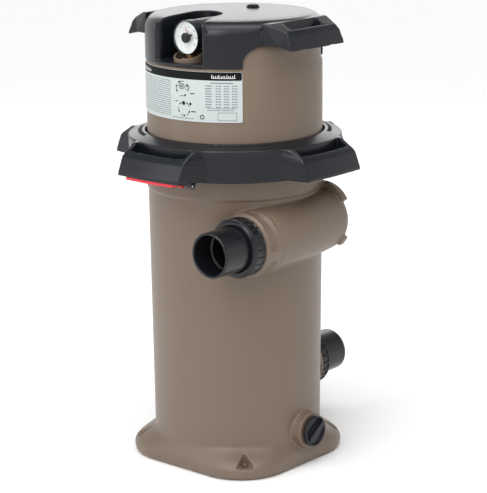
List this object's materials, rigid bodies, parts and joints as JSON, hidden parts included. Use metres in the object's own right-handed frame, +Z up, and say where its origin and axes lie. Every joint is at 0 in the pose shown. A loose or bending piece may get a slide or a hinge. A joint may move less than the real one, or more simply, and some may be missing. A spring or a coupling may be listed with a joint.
{
  "type": "cartridge filter housing",
  "caption": "Upright round pool filter housing with a lift-off domed head, a gripped lock ring, a pressure gauge, union ports, a drain plug and a pleated cartridge inside.",
  "frame": {"origin": "centre of the flat underside of the foot, on the tank's axis", "axes": "+Z up along the tank's axis, -Y the front with the gauge, label and upper union, +X the side with the port barrel and the drain plug"},
  "size_m": [0.397, 0.436, 0.7042],
  "materials": {
    "tan_plastic": "satin moulded",
    "black_plastic": "satin moulded, slightly glossy",
    "red_plastic": "moulded",
    "white_plastic": "moulded",
    "label": "printed film",
    "dial": "printed plate",
    "clear_lens": "clear polycarbonate",
    "rubber": "moulded seal",
    "brass": "turned",
    "stainless_steel": "drawn",
    "filter_fabric": "pleated spun polyester",
    "cap_urethane": "cast urethane",
    "strainer_mesh": "fine mesh"
  },
  "bodies": {
    "tank": {"tank_body": "tan_plastic", "upper_union_tail": "black_plastic", "upper_union_seal": "rubber", "lower_union_tail": "black_plastic", "lower_union_seal": "rubber", "head_seal": "rubber", "cartridge_media": "filter_fabric", "cartridge_core": "white_plastic", "cartridge_top_cap": "cap_urethane", "cartridge_bottom_cap": "cap_urethane", "outlet_elbow": "white_plastic", "vent_tube": "white_plastic", "vent_strainer": "strainer_mesh"},
    "upper_nut": {"upper_union_nut": "black_plastic"},
    "lower_nut": {"lower_union_nut": "black_plastic"},
    "drain_seal": {"drain_plug_seal": "rubber"},
    "drain_plug": {"drain_plug": "black_plastic"},
    "head": {"filter_head": "tan_plastic", "head_cover": "black_plastic", "front_label": "label", "gauge_case": "black_plastic", "gauge_dial": "dial", "gauge_lens": "clear_lens", "gauge_bezel": "black_plastic", "gauge_stem": "brass", "relief_valve_body": "brass"},
    "lock_ring": {"lock_ring": "black_plastic", "lever_pin": "stainless_steel", "lever_spring": "stainless_steel"},
    "safety_lever": {"safety_lever": "red_plastic"},
    "gauge_needle": {"gauge_needle": "red_plastic"},
    "service_pointer": {"service_pointer": "black_plastic"},
    "relief_knob": {"relief_knob": "black_plastic", "relief_seal": "rubber"}
  },
  "joints": [
    {"name": "head_lift", "type": "slide", "parent": "tank", "child": "head", "axis": [0, 0, 1], "range_m": [0, 0.35]},
    {"name": "ring_turn", "type": "hinge", "parent": "head", "child": "lock_ring", "pos_m": [0, 0, 0.49], "axis": [0, 0, 1], "range_deg": [-22.5, 0]},
    {"name": "lever_swing", "type": "hinge", "parent": "lock_ring", "child": "safety_lever", "pos_m": [0, -0.166, 0.461], "axis": [1, 0, 0], "range_deg": [0, 10], "stiffness_Nm_per_rad": 0.05, "springref_deg": -17.19},
    {"name": "needle_swing", "type": "hinge", "parent": "head", "child": "gauge_needle", "pos_m": [0, -0.101, 0.669], "axis": [0, -1, 0], "range_deg": [-159, 111], "stiffness_Nm_per_rad": 0.001},
    {"name": "pointer_turn", "type": "hinge", "parent": "head", "child": "service_pointer", "pos_m": [0, -0.108, 0.669], "axis": [0, -1, 0], "continuous": true},
    {"name": "relief_turn", "type": "hinge", "parent": "head", "child": "relief_knob", "pos_m": [0, 0.045, 0.7], "axis": [0, 0, 1], "range_deg": [0, 360]},
    {"name": "upper_nut_turn", "type": "hinge", "parent": "tank", "child": "upper_nut", "pos_m": [0.116, -0.12, 0.37], "axis": [0, -1, 0], "continuous": true},
    {"name": "lower_nut_turn", "type": "hinge", "parent": "tank", "child": "lower_nut", "pos_m": [0, 0.17, 0.106], "axis": [0, 1, 0], "continuous": true},
    {"name": "drain_slide", "type": "slide", "parent": "tank", "child": "drain_seal", "axis": [1, 0, 0], "range_m": [0, 0.0115]},
    {"name": "drain_turn", "type": "hinge", "parent": "drain_seal", "child": "drain_plug", "pos_m": [0.15, 0.007, 0.056], "axis": [1, 0, 0], "range_deg": [0, 1800]}
  ],
  "couplings": [
    {"joint": "drain_slide", "follows": "drain_turn", "m_per_rad": 0.00035014}
  ]
}
